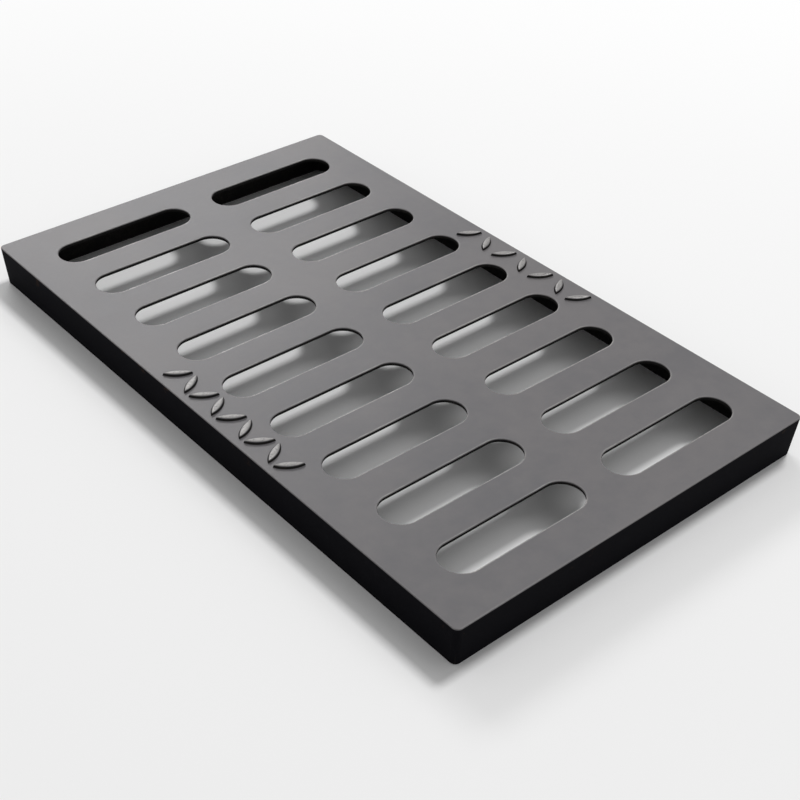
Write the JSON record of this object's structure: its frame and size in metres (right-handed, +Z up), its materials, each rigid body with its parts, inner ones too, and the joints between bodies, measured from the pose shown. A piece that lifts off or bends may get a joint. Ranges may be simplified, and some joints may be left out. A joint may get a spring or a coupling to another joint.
{
  "type": "drain grate",
  "caption": "Flat rectangular drain grate: a slotted tread plate on a shallow skirt, ribbed underneath, that drops into a frame over a gully.",
  "frame": {"origin": "centre of the footprint, on the plane of the skirt's foot", "axes": "+Z up out of the tread face, +Y along the grate's length, +X across it"},
  "size_m": [0.3, 0.5, 0.032],
  "materials": {
    "coated_iron": "satin"
  },
  "bodies": {
    "root": {"grate": "coated_iron"}
  },
  "joints": []
}
